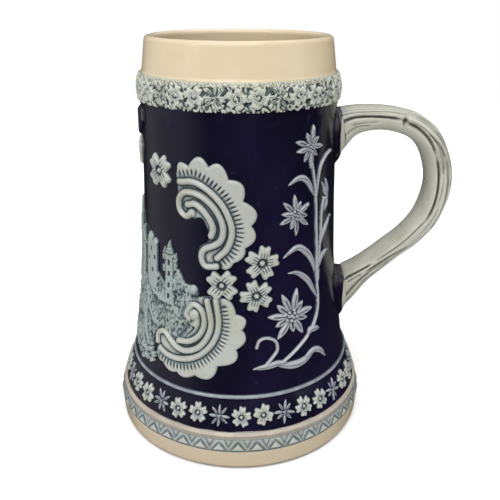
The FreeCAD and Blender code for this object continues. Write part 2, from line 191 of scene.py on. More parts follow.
def tube_faces(rings, around):
    """Quads between rings of points that close on themselves, and a cap on the first and last ring."""
    ring, spot = np.meshgrid(np.arange(rings - 1), np.arange(around), indexing="ij")
    following = (spot + 1) % around
    quads = np.stack([ring * around + spot, ring * around + following,
                      (ring + 1) * around + following, (ring + 1) * around + spot], axis=-1)
    first_cap = list(range(around))[::-1]
    last_cap = list(range((rings - 1) * around, rings * around))
    return quads.reshape(-1, 4).tolist() + [first_cap, last_cap]


def make_cup(material):
    """The hollow wall, turned with a slightly uneven hand."""
    around = 256
    section = thinned(SECTION[1:-1], 5)
    angle = np.arange(around)[None, :] * 360 / around
    height = np.repeat(section[:, 1:], around, axis=1)
    radius = section[:, :1] + ripple(angle, height) * (section[:, :1] > 30)
    points = round_axis(radius, angle, height)
    brim = int(np.argmax(section[:, 1]))
    inside = np.repeat(np.arange(len(section)) > brim, around)
    cup = new_piece("stein_cup", points, tube_faces(len(section), around), inside=inside)
    settle(cup, "body", material)


# ------------ relief

def pillow(inside, top, rise):
    """Height of a rounded shape from the distance inside its outline; below zero outside it."""
    share = np.clip(inside / rise, 0, 1)
    return np.where(inside > 0, top * (1 - (1 - share) ** 2), 2 * top / rise * inside)


def hollow(distance, width):
    """A soft groove, 1 in its middle and fading over its width."""
    return np.exp(-(distance / width) ** 2)


def curve_through(points, per_span=10):
    """A smooth line through points."""
    points = np.array(points, dtype=float)
    padded = np.vstack([2 * points[0] - points[1], points, 2 * points[-1] - points[-2]])
    share = np.linspace(0, 1, per_span, endpoint=False)[:, None]
    spans = []
    for a, b, c, d in zip(padded, padded[1:], padded[2:], padded[3:]):
        spans.append(0.5 * (2 * b + (c - a) * share + (2 * a - 5 * b + 4 * c - d) * share ** 2
                            + (3 * b - a - 3 * c + d) * share ** 3))
    return np.vstack(spans + [points[-1:]])


def scalloped(points):
    """A line of bulging arcs, through points that are a notch and a bump in turn."""
    share = np.linspace(0, 1, 10, endpoint=False)[:, None]
    points = np.array(points, dtype=float)
    arcs = []
    for notch, bump, following in zip(points[:-2:2], points[1::2], points[2::2]):
        arcs.append(notch * (1 - share) * (1 - 2 * share) + bump * 4 * share * (1 - share)
                    + following * share * (2 * share - 1))
    return np.vstack(arcs + [points[-1:]])


class Relief:
    """A patch of the wall on which relief is drawn: a height over the wall and a depth of coloured wash."""

    def __init__(self, low_angle, high_angle, low, high, step=0.3):
        self.closed = high_angle - low_angle >= 360
        self.centre = (low_angle + high_angle) / 2
        self.reference = float(wall((low + high) / 2))
        self.breadth = math.radians(high_angle - low_angle) * self.reference
        across = np.linspace(-self.breadth / 2, self.breadth / 2, int(self.breadth / step) + 1)
        if self.closed:
            across = across[:-1]
        self.across, self.up = np.meshgrid(across, np.linspace(low, high, int((high - low) / step) + 1))
        self.height = np.full(self.across.shape, -9.0)
        self.ink = np.zeros(self.across.shape)
        self.step = step

    def spot(self, angle, height):
        """Where a point of the wall lies on the patch."""
        return math.radians(angle - self.centre) * self.reference, height

    def away(self, angle, height, reach):
        """The patch's points near a spot: which they are, and how far across and up they lie from it."""
        u, v = self.spot(angle, height)
        across = self.across - u
        if self.closed:
            across = (across + self.breadth / 2) % self.breadth - self.breadth / 2
        up = self.up - v
        near = (np.abs(across) < reach) & (np.abs(up) < reach)
        return near, across[near], up[near]

    def from_run(self, start, end):
        """Distance of every point from a straight run, and the share of the run at the nearest spot."""
        run = end - start
        share = ((self.across - start[0]) * run[0] + (self.up - start[1]) * run[1]) / max(run @ run, 1e-9)
        share = np.clip(share, 0, 1)
        beside = self.across - start[0] - share * run[0]
        return np.hypot(beside, self.up - start[1] - share * run[1]), share

    def along(self, path):
        """Distance of every point from a smooth line, and the share of its length at the nearest spot."""
        points = curve_through([self.spot(*point) for point in path])
        lengths = lengths_along(points)
        best = np.full(self.across.shape, 1e9)
        share = np.zeros(self.across.shape)
        for start, end, before, after in zip(points, points[1:], lengths, lengths[1:]):
            distance, on_run = self.from_run(start, end)
            nearer = distance < best
            best[nearer] = distance[nearer]
            share[nearer] = ((before + on_run * (after - before)) / lengths[-1])[nearer]
        return best, share

    def inside(self, outline):
        """Distance of every point inside a closed outline of (angle, height) points; below zero outside."""
        corners = np.array([self.spot(*point) for point in outline])
        distance = np.full(self.across.shape, 1e9)
        within = np.zeros(self.across.shape, bool)
        for start, end in zip(corners, np.roll(corners, -1, axis=0)):
            distance = np.minimum(distance, self.from_run(start, end)[0])
            crosses = (self.up < start[1]) != (self.up < end[1])
            edge = start[0] + (self.up - start[1]) * (end[0] - start[0]) / ((end[1] - start[1]) or 1.0)
            within ^= crosses & (self.across < edge)
        return np.where(within, distance, -distance)

    def raise_to(self, heights, where=slice(None), ink=0.0):
        """Raises the relief to heights that are over it, and paints what it raises."""
        higher = (heights > self.height[where]) & (heights > 0)
        self.ink[where] = np.where(higher, ink, self.ink[where])
        self.height[where] = np.maximum(self.height[where], heights)

    def carve(self, amount, depth, ink=0.0, where=slice(None)):
        """Cuts grooves into what is already raised, and darkens them: the wash that runs into them, with
        painted shade.
        """
        raised = self.height[where] > 0
        lowered = np.maximum(self.height[where] - depth * amount, THINNEST)
        self.height[where] = np.where(raised, np.minimum(lowered, self.height[where]), self.height[where])
        self.ink[where] = np.maximum(self.ink[where], ink * amount)

    def stroke(self, path, half_width, top, shape="even", rib=0.0):
        """A raised line: of even width, or a leaf that is pointed at both ends."""
        distance, share = self.along(path)
        width = half_width * (0.15 + 0.85 * np.sin(np.pi * share) ** 0.8 if shape == "leaf" else 1.0)
        self.raise_to(pillow(width - distance, top, half_width))
        if rib:
            self.carve(hollow(distance, 0.28) * (width > 0.6), rib, ink=0.7)

    def groove(self, path, width, depth, ink):
        """A soft cut along a smooth line."""
        distance, _ = self.along(path)
        self.carve(hollow(distance, width), depth, ink)

    def dot(self, angle, height, radius, top, ink=0.0):
        """A round knob."""
        near, x, y = self.away(angle, height, radius + 1)
        self.raise_to(pillow(radius - np.hypot(x, y), top, radius), near, ink)

    def leaf(self, angle, height, length, half_width, lean, top):
        """A small straight leaf, pointed at both ends, that leans from upright."""
        near, x, y = self.away(angle, height, length)
        forward = x * math.sin(lean) + y * math.cos(lean)
        side = np.abs(x * math.cos(lean) - y * math.sin(lean))
        self.raise_to(pillow(half_width * (1 - (2 * forward / length) ** 2) - side, top, half_width), near)

    def blossom(self, angle, height, radius, petals, turned=0.0, top=1.5):
        """Broad petals with a slight notch and short veins, set well apart round a knob."""
        near, x, y = self.away(angle, height, radius * 1.1)
        reach = np.hypot(x, y) / radius
        pitch = 2 * math.pi / petals
        bearing = ((np.arctan2(x, y) - math.radians(turned)) / pitch + 0.5) % 1 * pitch - pitch / 2
        forward = reach * np.cos(bearing)
        side = np.abs(reach * np.sin(bearing))
        half = np.minimum(0.1 + 0.9 * forward, 1.75 / petals)
        corner = 0.17
        beside = np.maximum(corner - half + side, 0)
        beyond = np.maximum(corner - 1 + 0.08 * hollow(side, 0.12) + forward, 0)
        inside = np.minimum(corner - np.hypot(beside, beyond), forward - 0.12)
        self.raise_to(pillow(inside * radius, top, 0.17 * radius), near)
        veins = hollow(side, 0.035) + hollow(side - 0.45 * half, 0.035)
        self.carve(veins * np.clip(6 * (0.68 - forward), 0, 1), 0.3 * top, ink=0.9, where=near)
        self.carve(hollow(reach - 0.24, 0.08), 0.5 * top, ink=1.0, where=near)
        self.dot(angle, height, 0.18 * radius, top)

    def edelweiss(self, angle, height, lengths, turned=0.0, slender=0.13, top=1.6, knobs=12):
        """Lance shaped petals of uneven lengths, fluted down their middles, round a cluster of knobs."""
        longest = max(lengths)
        near, x, y = self.away(angle, height, longest * 1.15)
        reach = np.hypot(x, y)
        heading = np.arctan2(x, y) - math.radians(turned)
        heights = np.full(x.shape, -9.0)
        flutes = np.zeros(x.shape)
        for petal, length in enumerate(lengths):
            sway = 0.12 * math.sin(2.7 * petal + angle)
            bearing = heading - 2 * math.pi * petal / len(lengths) - sway * reach / longest
            bearing = (bearing + math.pi) % (2 * math.pi) - math.pi
            forward = reach * np.cos(bearing)
            side = np.abs(reach * np.sin(bearing))
            share = np.clip(forward / length, 0, 1)
            width = slender * longest * np.sin(np.pi * share ** 1.15) ** 0.75
            inside = np.where(forward > 0, np.minimum(width - side, length - forward), -reach)
            layer = 1 - 0.35 * (petal % 2) - 0.2 * share
            heights = np.maximum(heights, pillow(inside, top * layer, 0.8 * slender * longest))
            flutes = np.maximum(flutes, hollow(side, 0.035 * longest) * (share > 0.1) * (share < 0.75))
        self.raise_to(heights, near)
        self.carve(flutes, 0.4 * top, ink=0.7, where=near)
        self.carve(hollow(reach, 0.25 * longest), 0.3 * top, ink=0.5, where=near)
        for knob in range(knobs):
            heading = 2.4 * knob
            spread = 0.08 * longest * math.sqrt(knob)
            across = spread * math.sin(heading) / math.radians(1) / self.reference
            self.dot(angle + across, height + spread * math.cos(heading), 0.07 * longest, top)

    def wash(self):
        """How much wash and painted shade lie at each point: most in the hollows and at the foot of steep
        sides.
        """
        solid = np.maximum(self.height, 0)
        radius = max(1, round(0.6 / self.step))
        mean = box_mean(box_mean(solid, radius, self.closed), radius, self.closed)
        foot = np.clip(1 - self.height / 0.5, 0, 1)
        # Wash and painted shade together: darker in the hollows, at the foot of steep sides and in the inked
        # grooves.
        return np.clip((mean - solid) / 0.5, 0, 1) * 0.8 + 0.55 * foot + self.ink * 0.8

    def press(self, name):
        """The drawn relief as a closed mesh whose skirts dip under the wall's surface."""
        rows, columns = self.height.shape
        following = (np.arange(columns) + 1) % columns
        raised = self.height > 0
        cells = raised[:-1] | raised[1:]
        cells = cells | cells[:, following]
        if not self.closed:
            cells[:, -1] = False
        row, column = np.nonzero(cells)
        corners = [(row, column), (row, following[column]), (row + 1, following[column]), (row + 1, column)]
        number = np.full((rows, columns), -1)
        for corner in corners:
            number[corner] = 0
        count = int((number == 0).sum())
        number[number == 0] = np.arange(count)
        top = np.stack([number[corner] for corner in corners], axis=-1)
        faces = [top, top[:, ::-1] + count]
        empty = ~cells
        beside = {
            0: np.vstack([np.ones((1, columns), bool), empty[:-1]]),
            1: empty[:, following],
            2: np.vstack([empty[1:], np.ones((1, columns), bool)]),
            3: empty[:, np.arange(columns) - 1],
        }
        for edge, open_side in beside.items():
            chosen = open_side[row, column]
            first = top[chosen, edge]
            second = top[chosen, (edge + 1) % 4]
            faces.append(np.stack([second, first, first + count, second + count], axis=-1))
        used = number >= 0
        angle = self.centre + np.degrees(self.across / self.reference)
        surface = on_wall(angle, self.up, np.maximum(self.height, SUNK))[used]
        back = on_wall(angle, self.up, UNDERSIDE)[used]
        wash = np.tile(self.wash()[used], 2)
        return new_piece(name, np.vstack([surface, back]), np.vstack(faces).tolist(), wash=wash)


def box_mean(values, radius, wraps):
    """Mean over a square window, by running sums."""
    size = 2 * radius + 1
    for axis in (0, 1):
        margins = [(radius + 1, radius) if a == axis else (0, 0) for a in (0, 1)]
        padded = np.pad(values, margins, mode="wrap" if wraps and axis == 1 else "edge")
        sums = np.cumsum(padded, axis=axis)
        values = (np.take(sums, range(size, sums.shape[axis]), axis=axis)
                  - np.take(sums, range(sums.shape[axis] - size), axis=axis)) / size
    return values


def press_node(relief, node, material):
    """Presses a relief and puts it in the place of its CAD node."""
    settle(relief.press(node + "_clay"), node, material)


def both_sides(relief, name, material):
    """Presses a relief on the -Y side, and its mirror image on the +Y side."""
    right = relief.press(name + "_clay_right")
    mesh = right.data.copy()
    mesh.name = name + "_clay_left"
    mesh.vertices.foreach_set("co", (vectors(mesh, "co") * (1, -1, 1)).ravel())
    mesh.flip_normals()
    left = put(mesh.name, mesh)
    settle(right, name + "_right", material)
    settle(left, name + "_left", material)


# ------------ the bands

def make_band(name, low, high, groups, first_angle, sizes, materials, filler=None):
    """Edelweiss evenly spaced from a first one, with two blossoms between each pair."""
    middle = (low + high) / 2
    pitch = 360 / groups
    star_size, blossom_size = sizes
    stars = Relief(-180, 180, low, high, 0.25)
    blossoms = Relief(-180, 180, low, high, 0.25)
    if filler:
        filler(stars, low, high)
    for step in range(groups):
        angle = first_angle + pitch * step
        lengths = [star_size * (1.05 + 0.1 * math.sin(3.1 * petal + step)) for petal in range(8)]
        stars.edelweiss(angle, middle, lengths, turned=9 * step, slender=0.12, top=0.95, knobs=5)
        for beside, petals in ((pitch / 3, 5), (2 * pitch / 3, 4 + step % 2)):
            sway = 0.3 * math.sin(2.3 * step + beside)
            blossoms.blossom(angle + beside, middle + sway, blossom_size, petals, turned=37 * step + beside,
                             top=0.9)
    for relief, kind, material in zip((stars, blossoms), ("edelweiss", "blossoms"), materials):
        press_node(relief, "%s_%s" % (name, kind), material)


def fill_collar(relief, low, high):
    """Small leaves and buds crowded all over the collar, so that little ground shows between its flowers."""
    draw = np.random.default_rng(11)
    for step in range(900):
        share = (0.1, 0.5, 0.9)[step % 3] + draw.uniform(-0.14, 0.14)
        relief.leaf(0.4 * step, low + share * (high - low), draw.uniform(2.0, 3.4), draw.uniform(0.4, 0.65),
                    draw.uniform(-1.1, 1.1), draw.uniform(0.5, 0.8))
    for step in range(90):
        relief.dot(4 * step, draw.uniform(low + 0.8, high - 0.8), draw.uniform(0.5, 0.8), 0.8)


def make_triangles(material):
    """A border of upright triangles round the foot, each with a smaller one inside, on a pale ground."""
    count = 45
    low, high = span("foot_triangles")
    low, high = low - 0.4, high + 0.2
    relief = Relief(-180, 180, low, high, 0.22)
    pitch = relief.breadth / count
    across = ((relief.across - relief.spot(-1, 0)[0]) / pitch + 0.5) % 1 - 0.5
    up = (relief.up - low - 0.5) / (high - low - 1.0)
    relief.raise_to(pillow(np.minimum(relief.up - low, high - relief.up), 0.3, 0.4), ink=0.05)
    slope = (0.5 * (1 - up) - np.abs(across)) * pitch * 0.75
    inside = np.minimum(slope, relief.up - low - 0.35)
    relief.raise_to(pillow(inside, 0.8, 0.5), ink=0.1)
    relief.carve(hollow(inside - 0.5, 0.4), 0.4, ink=0.7)
    hanging = (0.3 * (up - 0.35) - np.abs(0.5 - np.abs(across))) * pitch * 0.75
    relief.carve(hollow(hanging - 0.1, 0.3), 0.12, ink=0.3)
    press_node(relief, "foot_triangles", material)


def make_beads(relief_material, cream_material):
    """The two thin rings that frame the skirt, dulled by the wash that ran over them."""
    for node, slot, material in (("field_bead_ring", "relief_glaze", relief_material),
                                 ("skirt_bead_ring", "cream_glaze", cream_material)):
        low, high = span(node)
        relief = Relief(-180, 180, low - 0.2, high + 0.2, 0.2)
        half = 0.85 * (high - low) / 2
        relief.raise_to(pillow(half - np.abs(relief.up - (low + high) / 2), 0.8, half), ink=0.4)
        press_node(relief, node, material)


# ------------ the scrolls and flowers of the field

SCROLLS = {
    "scroll_upper": {
        "patch": (-42, 13, 84, 137),
        "shell": [(-35.5, 127.8), (-33.3, 130), (-28.2, 129), (-22, 133), (-16.2, 129.5), (-10, 130.5),
                  (-5.5, 124.8), (2, 122.5), (2.2, 116.2), (9.2, 111.4), (6.5, 106), (8.6, 100.8),
                  (3.2, 96.8), (2, 93), (-3, 90.5), (-6.5, 87.8), (-10.8, 88.2)],
        "hem": [(-10.8, 88.2), (-15, 86.6), (-20.5, 87.4), (-23, 91.5), (-21.8, 96.6), (-17.2, 99.2),
                (-17.2, 103.5), (-20.5, 108.2), (-25, 107.8), (-30, 106.8), (-35.4, 109), (-36.5, 114.5),
                (-35.4, 119), (-36.2, 123.5), (-35.5, 127.8)],
        "ridges": [
            [(-33.5, 122.2), (-24.2, 122.8), (-15.5, 119.5), (-8.8, 114.2), (-4.6, 107), (-4.2, 101.8),
             (-6.8, 96.5), (-11.8, 92.6)],
            [(-26, 110.5), (-29.8, 108.6), (-33.6, 111), (-33.8, 115.6), (-29.5, 118.4), (-21.5, 117.8),
             (-14.3, 114), (-10, 109), (-8.6, 104.2), (-10, 100), (-13.5, 97.8), (-18.8, 95.8),
             (-20.6, 92.6), (-18.4, 88.9), (-12.5, 88.9)],
            [(-28.6, 113.4), (-24, 114), (-18.8, 111.2), (-15, 107), (-14.2, 104), (-15.2, 101.6)],
        ],
        "knob": (-26.2, 110.2, 1.9),
        "comb": [(-32.8, 125.6), (-23.5, 126.4), (-13.2, 122.5), (-5.4, 116.5), (-0.5, 108), (0, 101.4),
                 (-3.8, 94.2), (-10, 89.9)],
    },
    "scroll_lower": {
        "patch": (-55, 8, 34, 79),
        "shell": [(-10, 75.4), (-4.8, 74), (-1.8, 68.6), (3.2, 66), (1.4, 61.6), (3, 57), (-1.6, 53),
                  (-2.4, 47.6), (-11, 45.2), (-15, 39), (-23, 39.3), (-28.8, 37.2), (-33.5, 38.6),
                  (-38.2, 37.8), (-43.2, 40.2), (-47.6, 41.4), (-48.8, 46)],
        "hem": [(-48.8, 46), (-50.3, 52), (-46, 57.3), (-41, 55.8), (-36, 54.8), (-30, 56.3), (-24.5, 60.5),
                (-27.5, 61.8), (-31.3, 66), (-29.4, 71.5), (-24, 74.2), (-17, 75.6), (-10, 75.4)],
        "ridges": [
            [(-12.6, 74.2), (-11, 64.8), (-12.4, 58.2), (-16.8, 52.2), (-23.8, 47.6), (-31.8, 45.4),
             (-39, 45.2), (-45.6, 46.6)],
            [(-17.4, 73.4), (-15, 64.2), (-16.8, 57.8), (-21.6, 52.4), (-28.2, 49.8), (-34, 50.2),
             (-38.4, 52.4), (-43, 54.9), (-47.8, 53), (-48, 49)],
            [(-27.5, 64.6), (-28.8, 67.2), (-25, 71.2), (-20.4, 69.2), (-18.6, 64), (-21, 58.4),
             (-26.5, 54.6), (-33.2, 53.4)],
        ],
        "knob": (-24.6, 66.6, 3.0),
        "comb": [(-8.2, 71.5), (-6.9, 64.8), (-8.4, 56.7), (-13.9, 49.9), (-22.3, 44.3), (-31.4, 42),
                 (-39.2, 41.8), (-45.5, 43)],
    },
}


def make_scroll(name, parts, material):
    """A C-scroll: three ridges that curl at their ends, inside a shell of scallops with a comb of ticks."""
    relief = Relief(*parts["patch"], 0.28)
    outline = np.vstack([scalloped(parts["shell"]), curve_through(parts["hem"])])
    inside = relief.inside(outline)
    relief.raise_to(pillow(inside, 1.05, 1.3))
    distance, share = relief.along(parts["comb"])
    tick = 0.5 + 0.5 * np.cos(2 * np.pi * 30 * share)
    relief.carve(np.clip(1.7 * tick - 0.5, 0, 1) * hollow(distance, 1.5), 0.5, ink=0.9)
    for path in parts["ridges"]:
        relief.groove(path, 2.3, 0.85, ink=1.3)
    for path in parts["ridges"]:
        relief.stroke(path, 1.5, 1.75)
    relief.dot(*parts["knob"], 1.8)
    both_sides(relief, name, material)


def make_blossoms(material):
    """The loose blossoms in front of the scrolls, and the four-petalled one above them."""
    relief = Relief(-19, 23, 67, 99)
    relief.blossom(-9.5, 80.8, 6.8, 4, turned=40)
    relief.blossom(12, 90.2, 7.4, 5, turned=12)
    relief.blossom(8.8, 76.2, 7.0, 5, turned=-20)
    both_sides(relief, "blossoms", material)
    relief = Relief(-60, -38, 116, 133)
    relief.blossom(-49, 124.7, 7.2, 4, turned=45, top=1.4)
    both_sides(relief, "upper_blossom", material)


def make_edelweiss(material):
    """The three big edelweiss flowers beside the handle."""
    relief = Relief(14, 58, 51, 147)
    relief.edelweiss(42, 135, [8.8, 6.4, 8.0, 6.0, 9.0, 6.8, 7.8, 8.6, 6.2], turned=15)
    relief.edelweiss(32, 108.5, [8.6, 6.0, 8.2, 6.6, 8.8, 9.2, 6.4, 8.2, 6.8, 8.4], turned=-8)
    relief.edelweiss(28.5, 65, [12.2, 8.0, 10.8, 8.4, 10.4, 7.6, 11.4, 8.2, 10.6, 8.8, 11.2], turned=16)
    both_sides(relief, "edelweiss", material)


def make_vine(material):
    """Stems and leaves that climb to the flowers from a curl at the foot of the field."""
    relief = Relief(4, 70, 37, 135)
    stems = [
        [(22, 45.5), (30, 49.5), (38, 54), (44, 59), (47, 64), (48, 70), (47.5, 80), (48, 90), (47.5, 100),
         (47, 113), (45.5, 121), (43, 129)],
        [(47, 114), (48.5, 120), (51, 126), (56, 129.5), (62, 131)],
        [(48.5, 77), (50, 88), (51.5, 97), (52.5, 106), (55, 112)],
        [(8.5, 53.5), (10, 56.5), (14, 57.3), (18.5, 55.3), (19.3, 51.5), (16, 48), (12.5, 45)],
    ]
    for path in stems:
        relief.stroke(path, 0.75, 1.1)
    leaves = [
        ([(27, 121), (34, 123.3), (40, 121.3), (46.5, 114)], 1.4),
        ([(24, 91), (33, 94.3), (40, 91), (44.5, 86), (47.5, 79)], 1.6),
        ([(27, 84), (33, 83.2), (40, 79), (44, 74), (47.5, 69)], 1.4),
        ([(48, 80), (50.5, 84.5), (54, 87.2), (61, 88)], 1.3),
        ([(50.5, 90), (53, 95), (58, 99.5), (65, 103)], 1.3),
        ([(38, 53.5), (41, 56), (47.5, 54.8)], 1.7),
        ([(6.5, 44), (13, 44.6), (20, 45.3), (26, 44)], 1.5),
        ([(18, 44.8), (27, 43), (34, 43.2), (42, 46)], 2.0),
        ([(34, 43.8), (41, 46.2), (46.5, 44.5), (51, 40)], 1.4),
    ]
    for path, half_width in leaves:
        relief.stroke(path, half_width, 1.25, "leaf", rib=0.4)
    for tip in ((53, 119), (54.5, 115.5), (54, 110.5), (57, 120), (56, 106)):
        relief.stroke([(60, 112), tip], 1.1, 1.3, "leaf", rib=0.3)
    both_sides(relief, "vine", material)


# ------------ the front panel

def block(relief, left, right, foot, head, top):
    """A plain upright block of building, and the distance of every point inside its edges."""
    inside = relief.inside([(left, foot), (right, foot), (right, head), (left, head)])
    relief.raise_to(pillow(inside, top, 0.4), ink=0.1)
    return inside


def roof(relief, left, right, foot, tip, top):
    """A steep roof with rows of tiles."""
    inside = relief.inside([(left, foot), (right, foot), ((left + right) / 2, tip)])
    relief.raise_to(pillow(inside, top, 0.7), ink=0.15)
    tiles = 0.5 + 0.5 * np.cos(2 * np.pi * (relief.up - foot) / 1.6)
    relief.carve(np.clip(2 * tiles - 1, 0, 1) * (inside > 0.2), 0.2, ink=0.5)


def window(relief, angle, height, half_width, half_height):
    """A dark upright opening."""
    near, x, y = relief.away(angle, height, 2.5)
    opening = np.minimum(half_width - np.abs(x), half_height - np.abs(y))
    relief.carve((opening > 0) * 1.0, 0.8, ink=1.1, where=near)


def tower(relief, angle, half, foot, head, tip, top):
    """A tower with quoins, a cornice, a pointed roof and a column of windows."""
    on_tower = block(relief, angle - half, angle + half, foot, head, top)
    courses = np.abs((relief.up - foot) % 2.2 - 1.1)
    relief.carve(hollow(courses, 0.22) * (on_tower > 0) * (on_tower < 0.9), 0.25, ink=0.5)
    block(relief, angle - 1.2 * half, angle + 1.2 * half, head - 1.1, head, top + 0.15)
    roof(relief, angle - 1.15 * half, angle + 1.15 * half, head, tip, top + 0.1)
    for height in np.arange(head - 3.6, foot + 2, -5.0):
        window(relief, angle, height, 0.6, 1.1)


def hillside(relief, outline, seed):
    """Ground covered with brushwood: short upright tufts, packed close."""
    inside = relief.inside(outline)
    draw = np.random.default_rng(seed)
    tufts = draw.standard_normal(relief.across.shape)
    fine = box_mean(tufts, 1, False)
    tall = box_mean(np.repeat(tufts[::4], 4, axis=0)[:tufts.shape[0]], 1, False)
    broad = box_mean(box_mean(tufts, 5, False), 5, False)
    texture = 0.5 * fine / fine.std() + 0.6 * tall / tall.std() + 0.5 * broad / broad.std()
    heights = pillow(inside, 0.85, 0.8) + 0.17 * texture * (inside > 0.3)
    relief.raise_to(heights, ink=np.clip(0.42 - 0.3 * texture, 0, 1))
    rows, columns = np.nonzero(inside > 1.0)
    for chosen in draw.choice(len(rows), int(len(rows) / 70), replace=False):
        row, column = rows[chosen], columns[chosen]
        angle = relief.centre + math.degrees(relief.across[row, column] / relief.reference)
        height = relief.up[row, column]
        lean = draw.uniform(-1.2, 1.2)
        size = draw.uniform(0.35, 0.6)
        near, x, y = relief.away(angle, height, 2.6)
        side = np.abs(x * math.cos(lean * 0.4) - y * math.sin(lean * 0.4))
        tuft = pillow(size - np.hypot(side, 0.4 * y), draw.uniform(1.0, 1.35), size)
        relief.raise_to(tuft, near, ink=0.05)


def mirrored_outline(half):
    """Both sides of an outline from one, given as (degrees from the panel's middle, height)."""
    right = [(PANEL + offset, height) for offset, height in half]
    left = [(PANEL - offset, height) for offset, height in reversed(half[1:-1])]
    return right + left


def make_keep(material):
    """A plain keep with five towers on its hill. The design is a generic one."""
    relief = Relief(-120, -60, 35, 108)
    hillside(relief, mirrored_outline([(0, 76), (10, 74), (18, 77), (28, 73), (28.5, 60), (28.5, 38.5),
                                       (23, 36.8), (14, 38.4), (7, 36.6), (0, 37.6)]), 3)
    block(relief, -112, -68, 70, 84, 1.0)
    for offset in (-15.5, -6, 6, 15.5):
        roof(relief, PANEL + offset - 4, PANEL + offset + 4, 83, 91, 1.2)
    for offset, half, head, tip in ((0, 3.6, 98, 107), (-9, 2.7, 93, 102), (9, 2.7, 93, 102),
                                    (-19, 2.8, 89.5, 98), (19, 2.8, 89.5, 98)):
        tower(relief, PANEL + offset, half, 70, head, tip, 1.45)
    press_node(relief, "castle_keep", material)


def make_wing(material):
    """The round flank tower, the gate tower and the wooded slope that runs down to the scroll."""
    relief = Relief(-66, -22, 36, 106)
    slope = [(-64, 38), (-64, 84), (-52, 80), (-45, 76), (-37, 86), (-34, 84), (-30.5, 79.5), (-24, 79),
             (-20, 74), (-17, 72.6), (-24, 71), (-27, 66), (-25, 60), (-30, 55), (-38, 54), (-46, 57),
             (-51, 52), (-52, 45), (-56, 39.5), (-60, 37)]
    hillside(relief, slope, 5)
    block(relief, -63, -52.2, 72, 93, 1.35)
    relief.dot(-60.6, 93.6, 2.9, 1.5)
    relief.dot(-54.9, 92.6, 2.2, 1.5)
    for angle, height in ((-57.5, 89.5), (-54.2, 86), (-60.5, 85), (-56.5, 80)):
        window(relief, angle, height, 0.5, 1.0)
    folds = [[(-63, 80), (-59.5, 74), (-54, 70.5), (-47, 70)],
             [(-63, 70), (-59, 62.5), (-53.5, 58), (-49, 57.5)],
             [(-63, 57), (-60.5, 50), (-56, 45)]]
    for path in folds:
        relief.stroke(path, 1.3, 1.35)
        relief.groove([(angle - 1, height - 2.2) for angle, height in path], 0.6, 0.6, 0.9)
    tower(relief, -41.2, 2.9, 69, 90.5, 96.8, 1.5)
    tower(relief, -45.5, 0.9, 82, 90, 93.5, 1.4)
    tower(relief, -36.9, 1.1, 84, 89, 92, 1.4)
    block(relief, -50, -37, 68, 71, 1.3)
    relief.dot(-25.6, 77.3, 2.3, 1.6)
    relief.dot(-29, 76.8, 1.7, 1.4)
    relief.blossom(-53.2, 41, 3.8, 5, top=2.0)
    relief.blossom(-60.2, 40.2, 3.8, 5, turned=30, top=2.0)
    both_sides(relief, "castle_wing", material)


def make_swag(material):
    """The draped border over the front panel, with folds that fan out from its middle."""
    relief = Relief(-114, -66, 132, 147.5)
    outline = mirrored_outline([(0, 146.8), (20, 146.8), (22.5, 142), (19, 137.5), (12, 135), (8, 137),
                                (0, 134)])
    relief.raise_to(pillow(relief.inside(outline), 1.6, 1.6))
    for offset in (-18, -14, -10, -5, 0, 5, 10, 14, 18):
        relief.groove([(PANEL + offset * 0.8, 145), (PANEL + offset, 136)], 0.5, 0.6, ink=0.0)
    press_node(relief, "swag", material)


def make_shell(material):
    """The fluted scallop shell under the swag."""
    relief = Relief(-103, -77, 120, 134)
    for offset in (-8.5, -5.2, -1.8, 1.8, 5.2, 8.5):
        tip = 132.6 - 0.035 * offset ** 2
        relief.stroke([(PANEL + offset * 0.25, 122), (PANEL + offset, tip)], 1.5, 1.6)
    relief.dot(PANEL, 122.3, 1.9, 1.6)
    press_node(relief, "shell", material)


# ------------ handle

# Stations of the handle from the upper root to the lower one: distance from the axis and height of its
# middle, the heading it runs in (0 outward, 90 up), and the half thickness and half width of its section.
HANDLE = [
    (44.5, 136.4, 8, 8.7, 10.0), (49.5, 139.6, 10, 6.3, 9.1), (57.5, 140.8, 4, 5.3, 8.6),
    (67.0, 140.3, -8, 5.1, 8.6), (76.5, 137.0, -31, 5.3, 8.6), (84.1, 129.9, -54, 5.6, 8.6),
    (88.4, 119.3, -79, 5.8, 8.6), (89.0, 107.8, -97, 5.7, 8.6), (85.4, 96.1, -119, 5.3, 8.6),
    (77.9, 86.3, -135, 4.8, 8.6), (69.5, 79.0, -140, 4.6, 8.6), (61.6, 72.6, -139, 4.8, 8.6),
    (55.1, 67.1, -146, 5.8, 9.1), (49.5, 61.0, -172, 8.7, 10.0),
]
# How a root spreads on its way into the wall: how far in and down its middle lies from the handle's
# end, and how much its half height and half width have grown. It starts just inside the handle.
FLARE = [(-0.1, 0.0, -0.05, -0.05), (1.3, 0.8, 1.1, 0.4), (2.4, 1.8, 2.6, 0.9), (4.5, 2.8, 4.4, 1.8)]
# Cuts in the handle's flanks: the angle round the section where each starts and ends (0 outside, 180
# inside), the share of the handle's length where it starts and ends, its depth, width and darkness.
CUTS = [
    (67, 81, 0.00, 0.205, 0.90, 0.75, 1.5), (44, 55, 0.00, 0.22, 0.45, 0.5, 0.8),
    (31, 34, 0.00, 0.21, 0.30, 0.4, 0.5), (57, 65, 0.02, 0.17, 0.30, 0.4, 0.4),
    (98, 106, 0.00, 0.10, 0.35, 0.5, 0.6), (88, 96, 0.02, 0.13, 0.30, 0.4, 0.5),
    (84, 101, 0.20, 0.38, 0.70, 0.7, 1.0), (101, 102, 0.36, 0.64, 0.70, 0.7, 1.2),
    (102, 112, 0.60, 0.86, 0.50, 0.6, 0.8), (112, 127, 0.86, 1.00, 0.70, 0.7, 1.3),
    (80, 97, 0.72, 0.91, 0.50, 0.5, 0.9), (95, 112, 0.91, 0.99, 0.45, 0.5, 0.9),
    (84, 86, 0.88, 1.00, 0.45, 0.5, 0.7), (70, 64, 0.86, 1.00, 0.45, 0.5, 0.6),
]
